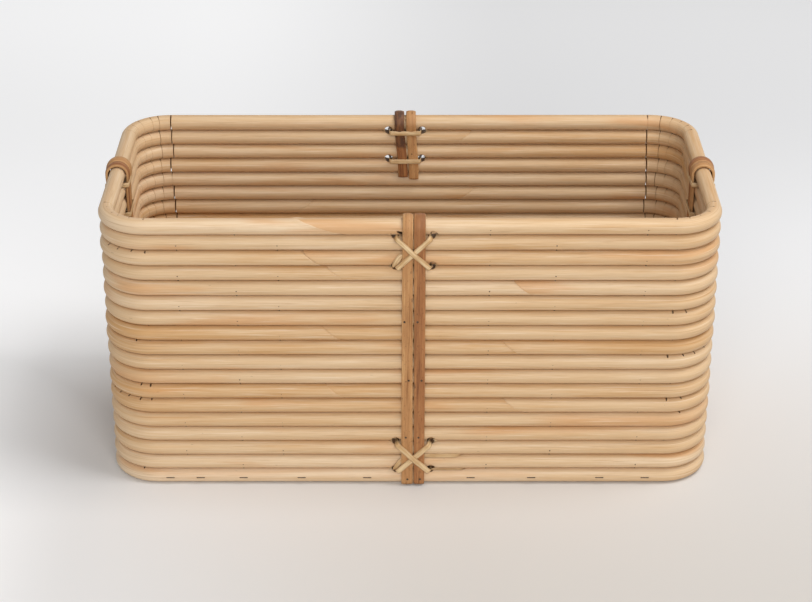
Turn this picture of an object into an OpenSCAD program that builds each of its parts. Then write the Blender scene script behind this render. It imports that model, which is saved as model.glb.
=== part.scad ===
// Open-topped storage basket of stacked rattan poles.
// Each ring is one pole, sawn with kerfs on its inside at the corners, bent to a rounded
// rectangle and closed with a scarf joint. Brads pin each ring to the one below, and in the
// middle of every wall a pair of split straps hooks over the rim and is lashed through the wall.
// Origin: middle of the footprint, on the surface the basket stands on. X is the long way, Z is up.

/* [Basket] */
// Width across the outside of the poles
basket_w = 597; // [480:1:760]
// Depth across the outside of the poles
basket_d = 276; // [220:1:420]
// Number of stacked rings
ring_count = 18; // [12:1:20]
// Bend radius of a corner, measured to the middle of the pole
corner_r = 39.5; // [32:0.5:60]

/* [Poles] */
// Diameter of a pole
pole_d = 15.8; // [13:0.1:19]
// Gap between one ring and the next
ring_gap = 0.2; // [0.1:0.05:0.6]
// Width of a saw kerf
kerf_w = 1.2; // [0.6:0.1:2]
// Wood left outside a kerf
kerf_web = 4.9; // [3.5:0.1:7]
// Kerfs at each corner
kerf_count = 6; // [4:1:8]
// Length of a scarf joint along the pole
scarf_run = 20; // [12:1:30]
// Length of the rim ring's longer scarf joint
rim_scarf_run = 50; // [30:1:60]
// Gap between the two faces of a scarf joint
scarf_gap = 0.3; // [0.1:0.05:0.6]

/* [Straps] */
// Width of one split strap
strap_w = 11.5; // [9:0.1:14]
// Thickness of a strap at its crown
strap_t = 3; // [2:0.1:4]
// Height of the rounded crown on a strap's outer face
strap_crown = 0.9; // [0.3:0.1:1.4]
// Gap between the two straps of a pair
strap_split = 1; // [0.4:0.1:3]
// Clearance between a strap and the poles it lies on
strap_fit = 0.1; // [0.05:0.05:0.4]
// Room between the rim and the strap that arches over it
strap_lift = 1.8; // [0.5:0.1:4]
// Height of the straps' outer ends above the floor
strap_foot = 2.5; // [1:0.5:8]
// How far a strap reaches down the inside past the upper lashing's lower holes
strap_tail = 18; // [8:1:40]
// How much further down the inside the right-hand strap of a pair ends
strap_stagger = 2.5; // [0:0.5:6]

/* [Lashings] */
// Width of the peel
lash_w = 5.4; // [3:0.1:6]
// Thickness of the peel
lash_t = 1; // [0.6:0.1:1.3]
// Clearance between the peel's corners and its hole
lash_hole_fit = 0.25; // [0.1:0.05:0.8]
// Distance of a lashing hole from the straps' outer edge
lash_margin = 4.5; // [4:0.1:8]
// Clearance round the peel
lash_fit = 0.12; // [0.1:0.01:0.3]

/* [Base] */
// Thickness of the base board
board_t = 12; // [10:0.5:16]
// Clearance between the board's edge and the lowest ring
board_fit = 0.2; // [0.1:0.1:1]

/* [Fasteners] */
// Diameter of a brad's shank
brad_d = 1.2; // [0.8:0.1:1.8]
// Diameter of a brad's head
brad_head_d = 2.2; // [1.8:0.1:3]
// Thickness of a brad's head
brad_head_t = 0.5; // [0.3:0.1:0.8]
// Length of a brad under its head
brad_len = 13; // [8:0.5:14]
// Slant of the brads that pin ring to ring, from the vertical
pin_tilt = 38; // [32:1:42]
// How far a slanted brad reaches into the ring below, as a share of the pole's diameter
pin_bite = 0.5; // [0.35:0.01:0.55]
// Width of a staple's crown
staple_w = 8; // [6:0.5:10]
// Diameter of the staple wire
staple_d = 0.9; // [0.7:0.1:1.2]
// How far a staple's legs reach into the base board
staple_bite = 6.8; // [4:0.1:12]
// Clearance round a brad or a staple leg
nail_fit = 0.03; // [0.02:0.01:0.1]

/* [Hidden] */
$fn = 64;
WALLS = ["front", "right", "back", "left"];
SIDES = ["left", "right"];
TIERS = ["upper", "lower"];
POLE_COLOURS = ["#dcb98a", "#d9b27e", "#e0bf93", "#d4a974"];

pole_r = pole_d / 2;
pitch = pole_d + ring_gap;
centre_w = basket_w - pole_d;
centre_d = basket_d - pole_d;
strap_half = strap_w + strap_split / 2;
strap_in = pole_r + strap_fit;
lash_reach = strap_half + lash_margin;
lash_over_strap = strap_in + strap_t + lash_fit + lash_t / 2;
lash_in_groove = sqrt(pow(pole_r, 2) - pow(pitch / 2 - lash_w / 2, 2)) + lash_fit + lash_t / 2;
lash_hole_d = norm([lash_w, lash_t]) + 2 * lash_hole_fit;
pin_drop = 0.07 * pole_r;
pin_sink = 0.4; // how far a slanted brad's end is driven below the pole's face
pin_len = (pole_r - pin_drop + ring_gap + pin_bite * pole_d) / cos(pin_tilt);
staple_len = pole_d + board_fit + staple_bite;
over = 1; // how far a cutting shape passes the surface it cuts

// Where each ring's scarf joint is, from the rim down: the wall, and the share of half its straight run
SCARFS = [
    ["front", -0.33], ["back", -0.22], ["front", -0.37], ["front", -0.28], ["front", 0.43],
    ["back", -0.24], ["back", 0.45], ["front", -0.30], ["front", 0.39], ["back", -0.26],
    ["back", 0.43], ["front", -0.29], ["front", 0.40], ["back", -0.23], ["back", 0.45],
    ["back", -0.28], ["back", 0.44], ["back", -0.25], ["back", 0.45], ["back", -0.25]
];
// Slanted brads on odd and on even rings, as shares of half a wall's straight run
LONG_PINS = [[-0.66, 0.30, 0.89], [-0.88, -0.50, 0.55]];
SHORT_PINS = [[-0.60, 0.60], [-0.75, 0.40]];
// Staples in the lowest ring, as shares of half a wall's straight run
LONG_STAPLES = [-0.95, -0.83, -0.66, -0.43, -0.17, 0.24, 0.48, 0.75, 0.93];
SHORT_STAPLES = [-0.80, -0.40, 0.42, 0.78];
// Rings that the straps are nailed to, and how far across a strap each brad is
STRAP_BRADS = [[7, -0.2], [11, 0.15], [ring_count - 3, -0.1], [ring_count, 0.05]];
// Middle of the strap pair on each wall, off the wall's own middle
STRAP_MID = [3, 0, 5, 0];

function ring_name(i) = str("ring_", i < 10 ? "0" : "", i);
function strap_name(wall, side) = str(wall, "_strap_", side);
function lashing_name(wall, tier) = str(wall, "_lashing_", tier);

// Height of the middle of ring i, counted from the rim down, and of the groove under it
function ring_z(i) = pitch * (ring_count - i + 0.5);
function groove_z(i) = ring_z(i) - pitch / 2;
function wall_index(wall) = search([wall], WALLS)[0];
function is_long(k) = k % 2 == 0;
// Distance from the basket's middle to a wall's pole centres, and half the wall's straight run
function wall_off(k) = (is_long(k) ? centre_d : centre_w) / 2;
function half_run(k) = (is_long(k) ? centre_w : centre_d) / 2 - corner_r;
// Groove at the middle of a lashing: its holes are one groove above and one below
function tie_ring(tier) = tier == "upper" ? 2 : ring_count - 2;
function strap_x(side) = (side == "left" ? -1 : 1) * (strap_w + strap_split) / 2;

// Puts children in a wall's frame: X to the right seen from outside, Y into the basket,
// and the origin at the wall's middle on the pole centres
module at_wall(k) {
    rotate([0, 0, 90 * k])
        translate([0, -wall_off(k), 0])
            children();
}

// ---- Poles ----

// A round pole bent to a rounded rectangle
module bent_pole() {
    for (k = [0:3]) {
        at_wall(k)
            rotate([0, 90, 0])
                cylinder(d = pole_d, h = 2 * half_run(k), center = true);
        at_corner(k)
            rotate_extrude(angle = 90)
                translate([corner_r, 0])
                    circle(d = pole_d);
    }
}

// Puts children at the bend centre of the corner at the right-hand end of wall k,
// turned so that the bend runs from the X axis to the Y axis
module at_corner(k) {
    rotate([0, 0, 90 * k])
        translate([half_run(k), corner_r - wall_off(k), 0])
            rotate([0, 0, -90])
                children();
}

// Saw kerfs on the inside of every corner, from the inner face to the web of wood outside
module kerfs() {
    depth = pole_d - kerf_web + over;
    for (k = [0:3])
        at_corner(k)
            for (j = [0:kerf_count - 1])
                rotate([0, 0, 90 * j / (kerf_count - 1)])
                    translate([corner_r - pole_r - over + depth / 2, 0, 0])
                        cube([depth, kerf_w, pole_d + 2 * over], center = true);
}

// The sloping gap between the two ends of a pole
module scarf(i) {
    place = SCARFS[i - 1];
    k = wall_index(place[0]);
    run = i == 1 ? rim_scarf_run : scarf_run;
    at_wall(k)
        translate([place[1] * half_run(k), 0, 0])
            rotate([0, -atan(run / pole_d), 0])
                cube([scarf_gap, pole_d + 2 * over, run + pole_d], center = true);
}

// Ring i, counted from the rim down
module pole_ring(i) {
    color(POLE_COLOURS[i % len(POLE_COLOURS)])
        difference() {
            translate([0, 0, ring_z(i)])
                difference() {
                    bent_pole();
                    kerfs();
                    scarf(i);
                }
            for (tier = TIERS)
                if (abs(i - tie_ring(tier) - 0.5) < 2)
                    lashing_holes(tier);
            if (i < ring_count)
                ring_brad_row(i, nail_fit);
            if (i > 1)
                ring_brad_row(i - 1, nail_fit);
            for (brad = STRAP_BRADS)
                if (brad[0] == i)
                    strap_brad_row(brad, nail_fit);
            if (i == ring_count)
                staple_row(nail_fit);
        }
}

// ---- Base ----

// A rounded rectangle made of two bars and four corner discs
module rounded_plate(w, d, r) {
    square([w, d - 2 * r], center = true);
    square([w - 2 * r, d], center = true);
    for (x = [-1, 1])
        for (y = [-1, 1])
            translate([x * (w / 2 - r), y * (d / 2 - r)])
                circle(r = r);
}

module base_board() {
    inset = pole_r + board_fit;
    color("#cfa876")
        difference() {
            linear_extrude(height = board_t)
                rounded_plate(centre_w - 2 * inset, centre_d - 2 * inset, corner_r - inset);
            staple_row(nail_fit);
        }
}

// ---- Straps ----

// Section of a strap: flat inner face on the X axis, crowned outer face towards +Y
module strap_section() {
    crown_r = (pow(strap_w / 2, 2) + pow(strap_crown, 2)) / (2 * strap_crown);
    intersection() {
        translate([-strap_w / 2, 0])
            square([strap_w, strap_t]);
        translate([0, strap_t - crown_r])
            circle(r = crown_r, $fn = 180);
    }
}

// One strap: up the outside, over the rim and down the inside
module strap(wall, side) {
    k = wall_index(wall);
    arch_z = ring_z(1) + strap_lift;
    inner_end = groove_z(tie_ring("upper") + 1) - strap_tail - (side == "right" ? strap_stagger : 0);
    color(side == "left" ? "#a8773f" : "#a56f3c")
        difference() {
            at_wall(k)
                translate([STRAP_MID[k] + strap_x(side), 0, 0]) {
                    translate([0, -strap_in, strap_foot])
                        mirror([0, 1, 0])
                            linear_extrude(height = arch_z - strap_foot)
                                strap_section();
                    translate([0, 0, arch_z])
                        rotate([0, 90, 0])
                            rotate([0, 0, 90])
                                rotate_extrude(angle = 180)
                                    translate([strap_in, 0])
                                        rotate(-90)
                                            strap_section();
                    translate([0, strap_in, inner_end])
                        linear_extrude(height = arch_z - inner_end)
                            strap_section();
                }
            for (brad = STRAP_BRADS)
                strap_brad_row(brad, nail_fit);
        }
}

// ---- Lashings ----

// The four holes of every lashing of one tier, drilled through the wall along its grooves
module lashing_holes(tier) {
    for (k = [0:3])
        at_wall(k)
            for (x = [-1, 1])
                for (row = [-1, 1])
                    translate([STRAP_MID[k] + x * lash_reach, 0, groove_z(tie_ring(tier) + row)])
                        rotate([90, 0, 0])
                            cylinder(d = lash_hole_d, h = pole_d + 2 * over, center = true);
}

// How the peel comes out of a hole: share of lash_margin moved inwards, share of the height reached
RISE = [[0, 0], [0, 0.42], [0.05, 0.70], [0.20, 0.93], [0.46, 1]];
// Where it then crosses the straps: share of strap_half, and the share of the lift at the crossing
CROSS = [[1, 0], [0.72, 0], [0.52, 0.2], [0.26, 1], [0, 1]];

// Half a crossing as [distance from the middle, height above the pole centres], from the hole inwards
function half_span(height, lift) = concat(
    [for (s = RISE) [lash_reach - s[0] * lash_margin, s[1] * height]],
    [for (s = CROSS) [strap_half * s[0], height + lift * s[1]]]
);
// The whole crossing, from the hole at -1 to the hole at +1
function span(height, lift) = let (half = half_span(height, lift), n = len(half)) concat(
    [for (s = half) [-s[0], s[1]]],
    [for (j = [n - 2:-1:0]) half[j]]
);
// A crossing set in the wall's frame. across and rise are its step in X and Z for a unit of distance,
// face is -1 outside and 1 inside. Each entry is [point, direction of the peel's width]
function laid(points, across, rise, face, level, width_dir) = [
    for (p = points) [
        [across * p[0], face * p[1], level + rise * p[0]],
        abs(p[1]) < 0.1 ? [0.5 * width_dir[0], 0, 0.5 + 0.5 * width_dir[2]] : width_dir
    ]
];
function unit(v) = v / norm(v);
// All entries but the last, so that a hole shared by two crossings is listed once
function without_last(list) = [for (j = [0:len(list) - 2]) list[j]];

// The closed path of one lashing: a diagonal outside, a bar inside, the other diagonal, the other bar
function lashing_path(tier) =
    let (
        slope = pitch / lash_reach,
        bar_height = tier == "upper" ? lash_over_strap : lash_in_groove,
        under = span(lash_over_strap, 0),
        top = span(lash_over_strap, lash_t + lash_fit),
        bar = span(bar_height, 0),
        upright = [0, 0, 1]
    )
    concat(
        without_last(laid(top, 1, -slope, -1, 0, unit([slope, 0, 1]))),
        without_last(laid(bar, -1, 0, 1, -pitch, upright)),
        without_last(laid(under, 1, slope, -1, 0, unit([-slope, 0, 1]))),
        without_last(laid(bar, -1, 0, 1, pitch, upright))
    );

// A flat band swept along a closed path of [point, width direction] entries
module band(path) {
    n = len(path);
    corners = [
        for (j = [0:n - 1])
            let (
                along = unit(path[(j + 1) % n][0] - path[(j + n - 1) % n][0]),
                side = unit(path[j][1]) * lash_w / 2,
                up = unit(cross(along, side)) * lash_t / 2
            )
            each [for (c = [[1, 1], [1, -1], [-1, -1], [-1, 1]]) path[j][0] + c[0] * side + c[1] * up]
    ];
    faces = [
        for (j = [0:n - 1])
            for (c = [0:3])
                let (a = 4 * j + c, b = 4 * j + (c + 1) % 4)
                let (a2 = (a + 4) % (4 * n), b2 = (b + 4) % (4 * n))
                each [[a, b, b2], [a, b2, a2]]
    ];
    polyhedron(points = corners, faces = faces, convexity = 6);
}

module lashing(wall, tier) {
    k = wall_index(wall);
    color("#d6b27c")
        at_wall(k)
            translate([STRAP_MID[k], 0, groove_z(tie_ring(tier))])
                band(lashing_path(tier));
}

// ---- Brads and staples ----

// Slanted brads from ring i into the ring below. fit widens them when they cut their own holes
module ring_brad_row(i, fit = 0) {
    for (k = [0:3])
        at_wall(k)
            for (share = (is_long(k) ? LONG_PINS : SHORT_PINS)[(i + 1) % 2])
                translate([share * half_run(k), pin_sink - pole_r, ring_z(i) - pin_drop])
                    rotate([pin_tilt, 0, 0])
                        translate([0, 0, -pin_len])
                            cylinder(d = brad_d + 2 * fit, h = pin_len + (fit > 0 ? over : 0));
}

module ring_brads() {
    color("#6f5334")
        for (i = [1:ring_count - 1])
            ring_brad_row(i);
}

// One brad through each strap into the ring that brad[0] names
module strap_brad_row(brad, fit = 0) {
    for (k = [0:3])
        at_wall(k)
            for (side = SIDES)
                translate([
                    STRAP_MID[k] + strap_x(side) + brad[1] * strap_w,
                    -(strap_in + strap_t),
                    ring_z(brad[0])
                ])
                    rotate([-90, 0, 0]) {
                        cylinder(d = brad_d + 2 * fit, h = brad_head_t + brad_len);
                        translate([0, 0, fit > 0 ? -over : 0])
                            cylinder(d = brad_head_d + 2 * fit, h = brad_head_t + (fit > 0 ? over : 0));
                    }
}

module strap_brads() {
    color("#5b4630")
        for (brad = STRAP_BRADS)
            strap_brad_row(brad);
}

// Staples through the middle of the lowest ring into the edge of the base board
module staple_row(fit = 0) {
    for (k = [0:3])
        at_wall(k)
            for (share = is_long(k) ? LONG_STAPLES : SHORT_STAPLES)
                translate([share * half_run(k), -pole_r, ring_z(ring_count)]) {
                    rotate([0, 90, 0])
                        cylinder(d = staple_d + 2 * fit, h = staple_w, center = true);
                    for (x = [-1, 1])
                        translate([x * (staple_w - staple_d) / 2, 0, 0])
                            rotate([-90, 0, 0])
                                cylinder(d = staple_d + 2 * fit, h = staple_len);
                }
}

module base_staples() {
    color("#4a4038")
        staple_row();
}

for (i = [1:ring_count])
    pole_ring(i);
base_board();
for (wall = WALLS)
    for (side = SIDES)
        strap(wall, side);
for (wall = WALLS)
    for (tier = TIERS)
        lashing(wall, tier);
strap_brads();
ring_brads();
base_staples();
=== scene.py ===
"""An open-topped rattan storage basket: stacked kerf-bent poles, strapped and lashed at mid-wall."""

import logging
import math
from dataclasses import dataclass
from enum import Enum

import bmesh
import bpy
import numpy as np
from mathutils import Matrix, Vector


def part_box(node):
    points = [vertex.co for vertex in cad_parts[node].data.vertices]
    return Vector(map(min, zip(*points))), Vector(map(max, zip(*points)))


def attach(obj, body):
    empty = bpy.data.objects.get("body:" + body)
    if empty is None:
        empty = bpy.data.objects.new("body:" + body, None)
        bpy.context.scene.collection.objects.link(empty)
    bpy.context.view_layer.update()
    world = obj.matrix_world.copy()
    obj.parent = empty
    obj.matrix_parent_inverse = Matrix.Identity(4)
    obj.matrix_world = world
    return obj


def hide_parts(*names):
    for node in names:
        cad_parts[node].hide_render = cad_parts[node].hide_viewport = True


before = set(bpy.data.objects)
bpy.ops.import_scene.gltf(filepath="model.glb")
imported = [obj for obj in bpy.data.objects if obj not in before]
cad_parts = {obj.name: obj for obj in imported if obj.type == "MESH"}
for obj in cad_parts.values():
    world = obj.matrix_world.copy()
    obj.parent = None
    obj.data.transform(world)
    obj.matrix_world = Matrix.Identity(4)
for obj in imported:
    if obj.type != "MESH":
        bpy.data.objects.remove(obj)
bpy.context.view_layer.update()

log = logging.getLogger("basket")
logging.basicConfig(level=logging.INFO, format="%(name)s: %(message)s")

BODY = "root"
MM = 0.001
TAU = 2 * math.pi
SEED = 18

Colour = tuple[float, float, float]


def srgb(red: int, green: int, blue: int) -> Colour:
    """A colour given in 0 to 255 steps, as the linear values that a shader takes.

    Args:
        red: Red, 0 to 255.
        green: Green, 0 to 255.
        blue: Blue, 0 to 255.

    Returns:
        Linear red, green and blue.
    """
    def linear(step: float) -> float:
        """One channel's linear value."""
        c = step / 255
        return c / 12.92 if c <= 0.04045 else ((c + 0.055) / 1.055) ** 2.4
    return linear(red), linear(green), linear(blue)


def smooth(t: np.ndarray) -> np.ndarray:
    """The smooth step 3t^2 - 2t^3, with t held to 0..1."""
    t = np.clip(t, 0.0, 1.0)
    return t * t * (3 - 2 * t)


class Wall(Enum):
    """The four walls, in the order in which the pole path meets them."""

    FRONT = 0
    RIGHT = 1
    BACK = 2
    LEFT = 3

    @property
    def label(self) -> str:
        """The wall's name in the CAD nodes."""
        return self.name.lower()


class Tier(Enum):
    """The two heights at which a strap pair is lashed."""

    UPPER = "upper"
    LOWER = "lower"


class Side(Enum):
    """The two straps of a pair, seen from outside the wall."""

    LEFT = "left"
    RIGHT = "right"


# ---------------------------------------------------------------- sizes


@dataclass(frozen=True)
class BasketSizes:
    """The basket's sizes in metres, taken from the CAD nodes' boxes where they show them."""

    pole_r: float
    pitch: float
    centre_w: float
    centre_d: float
    ring_count: int
    rim_z: float
    strap_w: float
    strap_foot: float
    strap_mid: tuple[float, float, float, float]
    top_z: float
    corner_r: float = 39.5 * MM
    strap_t: float = 3.0 * MM
    strap_fit: float = 0.1 * MM
    strap_tail: float = 18 * MM
    strap_stagger: float = 2.5 * MM
    lash_w: float = 5.4 * MM
    lash_t: float = 1.0 * MM
    lash_fit: float = 0.12 * MM
    lash_margin: float = 4.5 * MM
    scarf_gap: float = 0.3 * MM
    scarf_run: float = 20 * MM
    rim_scarf_run: float = 50 * MM

    @classmethod
    def from_frame(cls) -> "BasketSizes":
        """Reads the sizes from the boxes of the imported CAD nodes."""
        lo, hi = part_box("ring_01")
        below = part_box("ring_02")[0]
        pole_d = hi.z - lo.z
        count = sum(name.startswith("ring_") and name[5:].isdigit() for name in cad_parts)
        mids = []
        for wall in Wall:
            boxes = [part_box(f"{wall.label}_strap_{side.value}") for side in Side]
            axis = 0 if wall in (Wall.FRONT, Wall.BACK) else 1
            sign = 1 if wall in (Wall.FRONT, Wall.RIGHT) else -1
            mids.append(sign * sum(b[0][axis] + b[1][axis] for b in boxes) / 4)
        strap_lo, strap_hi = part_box("front_strap_left")
        return cls(
            pole_r=pole_d / 2,
            pitch=lo.z - below.z,
            centre_w=hi.x - lo.x - pole_d,
            centre_d=hi.y - lo.y - pole_d,
            ring_count=count,
            rim_z=hi.z,
            strap_w=strap_hi.x - strap_lo.x,
            strap_foot=strap_lo.z,
            strap_mid=tuple(mids),
            top_z=strap_hi.z,
        )

    def ring_z(self, ring: int) -> float:
        """Height of the middle of a ring, counted from 1 at the rim."""
        return self.rim_z - self.pole_r - (ring - 1) * self.pitch

    def groove_z(self, ring: int) -> float:
        """Height of the groove under a ring."""
        return self.ring_z(ring) - self.pitch / 2

    def tie_ring(self, tier: Tier) -> int:
        """The ring whose lower groove is at the middle of a lashing."""
        return 2 if tier is Tier.UPPER else self.ring_count - 2

    def strap_end(self, late: bool) -> float:
        """Height of a strap's inner end; the later strap of a pair ends a little lower."""
        return self.groove_z(self.tie_ring(Tier.UPPER) + 1) - self.strap_tail - late * self.strap_stagger

    @property
    def strap_in(self) -> float:
        """Distance from the pole centres to a strap's inner face."""
        return self.pole_r + self.strap_fit

    @property
    def strap_half(self) -> float:
        """Half the width of a strap pair."""
        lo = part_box("front_strap_left")[0].x
        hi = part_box("front_strap_right")[1].x
        return (hi - lo) / 2

    @property
    def lash_reach(self) -> float:
        """Distance of a lashing hole from the middle of its strap pair."""
        return self.strap_half + self.lash_margin


class PolePath:
    """The closed line through the pole centres, walked from mid-front towards +X."""

    def __init__(self, sizes: BasketSizes) -> None:
        """Works out where the eight stretches of the rounded rectangle start and end."""
        self.radius = sizes.corner_r
        self.run_x = sizes.centre_w / 2 - sizes.corner_r
        self.run_y = sizes.centre_d / 2 - sizes.corner_r
        arc = self.radius * math.pi / 2
        steps = [self.run_x, arc, 2 * self.run_y, arc, 2 * self.run_x, arc, 2 * self.run_y, arc, self.run_x]
        self.knots = np.concatenate([[0.0], np.cumsum(steps)])
        self.length = float(self.knots[-1])
        quarter = np.pi / 2
        self.heading = quarter * np.array([0, 0, 1, 1, 2, 2, 3, 3, 4, 4])
        x, y = self.run_x, self.run_y
        self.core_x = np.array([0, x, x, x, x, -x, -x, -x, -x, 0])
        self.core_y = np.array([-y, -y, -y, y, y, y, y, -y, -y, -y])

    def frame_at(self, s: np.ndarray) -> tuple[np.ndarray, np.ndarray]:
        """The line and its outward normal at distances s along it.

        A rounded rectangle is the rectangle of its corner centres plus the bend radius times the
        outward normal, and the normal turns evenly through a quarter turn in each corner.

        Args:
            s: Distances along the line, of any shape.

        Returns:
            The points and the outward normals, each with a last axis of x and y.
        """
        s = np.mod(s, self.length)
        angle = np.interp(s, self.knots, self.heading)
        normal = np.stack([np.sin(angle), -np.cos(angle)], axis=-1)
        core = np.stack([np.interp(s, self.knots, self.core_x), np.interp(s, self.knots, self.core_y)], axis=-1)
        return core + self.radius * normal, normal

    def wall_mid(self, wall: Wall) -> float:
        """Distance along the line to the middle of a wall."""
        return self.length * wall.value / 4 if wall in (Wall.FRONT, Wall.BACK) else (
            (self.knots[2] + self.knots[3]) / 2 if wall is Wall.RIGHT else (self.knots[6] + self.knots[7]) / 2
        )

    def bend_start(self, corner: int) -> float:
        """Distance along the line to the start of a corner's bend; corner 0 is the front right one."""
        return float(self.knots[2 * corner + 1])


# ---------------------------------------------------------------- meshes


def add_mesh(
    name: str, points: np.ndarray, faces: list | np.ndarray, finish: bpy.types.Material,
    node: str | None = None, attributes: dict[str, np.ndarray] | None = None,
) -> bpy.types.Object:
    """Makes a mesh object at the origin that rides on the basket.

    Args:
        name: The piece's name.
        points: Vertex positions, one row each.
        faces: Vertex indices of each face, wound outwards.
        finish: The piece's material.
        node: The CAD node that the piece replaces, if any.
        attributes: Per-vertex values by name, one number or three numbers a vertex.

    Returns:
        The new object.
    """
    mesh = bpy.data.meshes.new(name)
    mesh.from_pydata(points.tolist(), [], [list(map(int, f)) for f in faces])
    for key, values in (attributes or {}).items():
        kind, field_name = ("FLOAT_VECTOR", "vector") if values.ndim == 2 else ("FLOAT", "value")
        layer = mesh.attributes.new(key, kind, "POINT")
        layer.data.foreach_set(field_name, np.ascontiguousarray(values, np.float32).ravel())
    mesh.polygons.foreach_set("use_smooth", np.ones(len(mesh.polygons), bool))
    mesh.update()
    mesh.validate()
    piece = bpy.data.objects.new(name, mesh)
    bpy.context.scene.collection.objects.link(piece)
    mesh.materials.append(finish)
    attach(piece, BODY)
    if node:
        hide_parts(node)
    log.info("%s: %d vertices, %d faces", name, len(points), len(mesh.polygons))
    return piece


def tube_faces(rows: int, columns: int, closed: bool, first: int = 0) -> np.ndarray:
    """Quads of a tube whose vertices are laid out row by row, each row once round its section.

    Args:
        rows: Number of sections.
        columns: Vertices in a section.
        closed: Whether the last section joins the first.
        first: Index of the tube's first vertex.

    Returns:
        One row of four indices for each quad.
    """
    row = np.arange(rows if closed else rows - 1)[:, None]
    column = np.arange(columns)[None, :]
    nxt, around = (row + 1) % rows, (column + 1) % columns
    quads = np.stack([row * columns + column, nxt * columns + column,
                      nxt * columns + around, row * columns + around], axis=-1)
    return quads.reshape(-1, 4) + first


def capped(points: np.ndarray, faces: np.ndarray, rows: int, columns: int) -> tuple[np.ndarray, list]:
    """Closes both ends of an open tube, each with a fan round a new middle vertex.

    Args:
        points: The tube's vertices.
        faces: The tube's quads.
        rows: Number of sections.
        columns: Vertices in a section.

    Returns:
        The vertices and faces with the two ends added; the two new vertices come last.
    """
    start = points[:columns].mean(axis=0)
    end = points[(rows - 1) * columns:rows * columns].mean(axis=0)
    at_start, at_end = len(points), len(points) + 1
    ring = np.arange(columns)
    nxt = (ring + 1) % columns
    base = (rows - 1) * columns
    fans = [[at_start, a, b] for a, b in zip(ring, nxt)] + [[at_end, base + b, base + a] for a, b in zip(ring, nxt)]
    return np.vstack([points, start, end]), faces.tolist() + fans


def outward_faces(piece: bpy.types.Object) -> None:
    """Turns a closed mesh's faces outwards."""
    shape = bmesh.new()
    shape.from_mesh(piece.data)
    bmesh.ops.recalc_face_normals(shape, faces=shape.faces)
    shape.to_mesh(piece.data)
    shape.free()


def value_noise(x: np.ndarray, seed: int, octaves: int = 2) -> np.ndarray:
    """Smooth noise of one variable, from -1 to 1: random values at whole numbers, smoothly joined.

    Args:
        x: Where to read it; one unit is one bump of the first octave.
        seed: Which noise.
        octaves: How many layers, each twice as fine and half as strong.

    Returns:
        The noise at x.
    """
    total, strength = np.zeros_like(x, float), 0.0
    for octave in range(octaves):
        table = np.random.default_rng(1000 * seed + octave).uniform(-1, 1, 512)
        place = x * 2 ** octave
        low = np.floor(place).astype(int)
        t = smooth(place - low)
        total += (table[low % 512] * (1 - t) + table[(low + 1) % 512] * t) / 2 ** octave
        strength += 1 / 2 ** octave
    return total / strength


def spline(controls: np.ndarray, samples: int, closed: bool) -> np.ndarray:
    """A Catmull-Rom curve through control points.

    Between points b and c, with a before and d after, it is
    (2b + (c-a)t + (2a-5b+4c-d)t^2 + (3b-a-3c+d)t^3) / 2.

    Args:
        controls: Control points, one row each, with any number of columns.
        samples: Points made for each stretch.
        closed: Whether the curve returns to its first point.

    Returns:
        The curve's points, one row each.
    """
    if closed:
        padded = np.vstack([controls[-1:], controls, controls[:2]])
    else:
        padded = np.vstack([2 * controls[:1] - controls[1:2], controls, 2 * controls[-1:] - controls[-2:-1]])
    t = (np.arange(samples) / samples)[None, :, None]
    a, b, c, d = (padded[k:len(padded) - 3 + k, None, :] for k in range(4))
    curve = 0.5 * (2 * b + (c - a) * t + (2 * a - 5 * b + 4 * c - d) * t ** 2 + (3 * b - a - 3 * c + d) * t ** 3)
    curve = curve.reshape(-1, controls.shape[1])
    return curve if closed else np.vstack([curve, controls[-1:]])


def wall_to_basket(points: np.ndarray, wall: Wall, sizes: BasketSizes) -> np.ndarray:
    """Moves points from a wall's frame to the basket's.

    Args:
        points: Rows of distance to the right seen from outside, distance outwards from the pole
            centres, and height.
        wall: The wall.
        sizes: The basket's sizes.

    Returns:
        Rows of x, y and z.
    """
    turn = wall.value * math.pi / 2
    offset = (sizes.centre_d if wall in (Wall.FRONT, Wall.BACK) else sizes.centre_w) / 2
    across, out = points[..., 0], points[..., 1] + offset
    right, away = (math.cos(turn), math.sin(turn)), (math.sin(turn), -math.cos(turn))
    return np.stack([across * right[0] + out * away[0], across * right[1] + out * away[1], points[..., 2]], axis=-1)


# ---------------------------------------------------------------- finishes


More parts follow.
